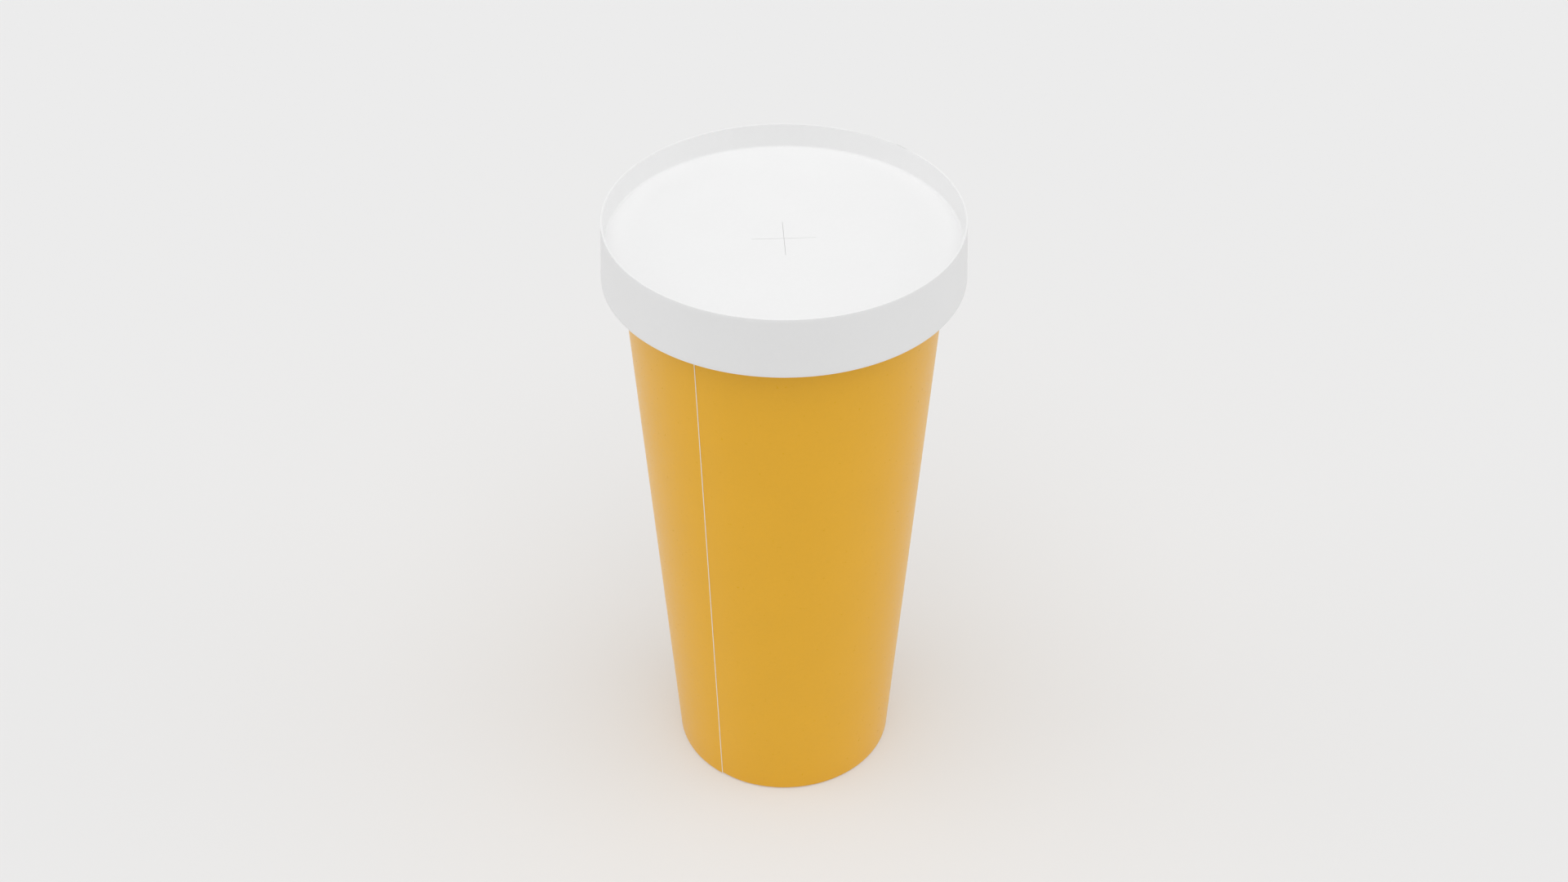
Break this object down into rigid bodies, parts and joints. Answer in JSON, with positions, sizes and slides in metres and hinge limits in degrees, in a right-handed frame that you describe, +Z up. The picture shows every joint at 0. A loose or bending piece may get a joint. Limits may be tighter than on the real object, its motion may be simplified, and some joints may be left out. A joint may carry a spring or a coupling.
{
  "type": "lidded drinks cup",
  "caption": "Tall tapered paper drinks cup with a lapped side seam, rolled brim and a recessed flat paper lid whose cross-cut flaps let a straw through.",
  "frame": {"origin": "centre of the foot, on the surface that the cup stands on", "axes": "+Z up along the cup's axis towards the lid; -Y is the front, and the side seam's free edge lies 32 to 35 degrees from it towards -X"},
  "size_m": [0.092, 0.092, 0.1726],
  "materials": {
    "printed_board": "satin",
    "cup_bottom_board": "satin",
    "lid_board": "matte"
  },
  "bodies": {
    "cup": {"cup_sidewall": "printed_board", "cup_bottom": "cup_bottom_board"},
    "lid": {"lid_band": "lid_board", "lid_disc": "lid_board"},
    "straw_flap_back_right": {"straw_flap_back_right": "lid_board"},
    "straw_flap_back_left": {"straw_flap_back_left": "lid_board"},
    "straw_flap_front_left": {"straw_flap_front_left": "lid_board"},
    "straw_flap_front_right": {"straw_flap_front_right": "lid_board"}
  },
  "joints": [
    {"name": "lid_lift", "type": "slide", "parent": "cup", "child": "lid", "axis": [0, 0, 1], "range_m": [0, 0.08]},
    {"name": "bend_back_right", "type": "hinge", "parent": "lid", "child": "straw_flap_back_right", "pos_m": [0.00372, 0.00416, 0.16575], "axis": [0.7455, -0.6665, 0], "range_deg": [-30, 80], "stiffness_Nm_per_rad": 0.003},
    {"name": "bend_back_left", "type": "hinge", "parent": "lid", "child": "straw_flap_back_left", "pos_m": [-0.00416, 0.00372, 0.16575], "axis": [0.6665, 0.7455, 0], "range_deg": [-30, 80], "stiffness_Nm_per_rad": 0.003},
    {"name": "bend_front_left", "type": "hinge", "parent": "lid", "child": "straw_flap_front_left", "pos_m": [-0.00372, -0.00416, 0.16575], "axis": [-0.7455, 0.6665, 0], "range_deg": [-30, 80], "stiffness_Nm_per_rad": 0.003},
    {"name": "bend_front_right", "type": "hinge", "parent": "lid", "child": "straw_flap_front_right", "pos_m": [0.00416, -0.00372, 0.16575], "axis": [-0.6665, -0.7455, 0], "range_deg": [-30, 80], "stiffness_Nm_per_rad": 0.003}
  ]
}
